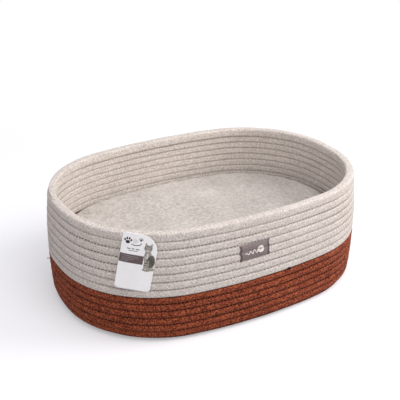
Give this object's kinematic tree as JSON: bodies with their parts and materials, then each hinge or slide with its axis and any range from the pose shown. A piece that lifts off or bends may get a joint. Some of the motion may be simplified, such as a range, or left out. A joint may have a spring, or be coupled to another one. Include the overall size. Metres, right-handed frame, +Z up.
{
  "type": "pet bed basket",
  "caption": "Oval pet bed basket of sewn coiled rope in two tones, with a loose plush cushion, a woven label and a hang tag.",
  "frame": {"origin": "centre of the base on the floor", "axes": "+X along the oval, +Y across it away from the label, +Z up"},
  "size_m": [0.5014, 0.3603, 0.1818],
  "materials": {
    "rope_brown": "matte rust-brown braided cotton rope",
    "rope_oatmeal": "matte oatmeal braided cotton rope",
    "thread_brown": "dark brown sewing thread",
    "thread_oatmeal": "greige sewing thread",
    "plush": "light grey short-pile plush",
    "filling": "white fibre filling",
    "label_weave": "grey-brown woven tape",
    "label_thread": "grey-brown sewing thread",
    "card": "white coated card",
    "nylon": "milky nylon"
  },
  "bodies": {
    "basket": {"base_core": "rope_brown", "base_turn_01": "rope_brown", "base_turn_02": "rope_brown", "base_turn_03": "rope_brown", "base_turn_04": "rope_brown", "base_turn_05": "rope_brown", "base_turn_06": "rope_brown", "base_turn_07": "rope_brown", "base_turn_08": "rope_brown", "base_turn_09": "rope_brown", "base_turn_10": "rope_brown", "base_turn_11": "rope_brown", "base_turn_12": "rope_brown", "base_turn_13": "rope_brown", "base_edge_turn": "rope_brown", "brown_wall_row_01": "rope_brown", "brown_wall_row_02": "rope_brown", "brown_wall_row_03": "rope_brown", "brown_wall_row_04": "rope_brown", "brown_wall_row_05": "rope_brown", "brown_wall_row_06": "rope_brown", "oatmeal_wall_row_07": "rope_oatmeal", "oatmeal_wall_row_08": "rope_oatmeal", "oatmeal_wall_row_09": "rope_oatmeal", "oatmeal_wall_row_10": "rope_oatmeal", "oatmeal_wall_row_11": "rope_oatmeal", "oatmeal_wall_row_12": "rope_oatmeal", "oatmeal_wall_row_13": "rope_oatmeal", "oatmeal_wall_row_14": "rope_oatmeal", "base_stitching_top": "thread_brown", "base_stitching_under": "thread_brown", "brown_wall_stitching": "thread_brown", "oatmeal_wall_stitching": "thread_oatmeal", "woven_label": "label_weave", "label_stitching": "label_thread", "tag_pin": "nylon"},
    "cushion": {"cushion_top_cover": "plush", "cushion_bottom_cover": "plush", "cushion_fill": "filling"},
    "tag": {"hang_tag": "card"}
  },
  "joints": [
    {"name": "cushion_lift", "type": "slide", "parent": "basket", "child": "cushion", "axis": [0, 0, 1], "range_m": [0, 0.2]},
    {"name": "tag_swing", "type": "hinge", "parent": "basket", "child": "tag", "pos_m": [-0.18845, -0.14002, 0.16855], "axis": [-0.5, -0.866, 0], "range_deg": [-90, 90]}
  ]
}
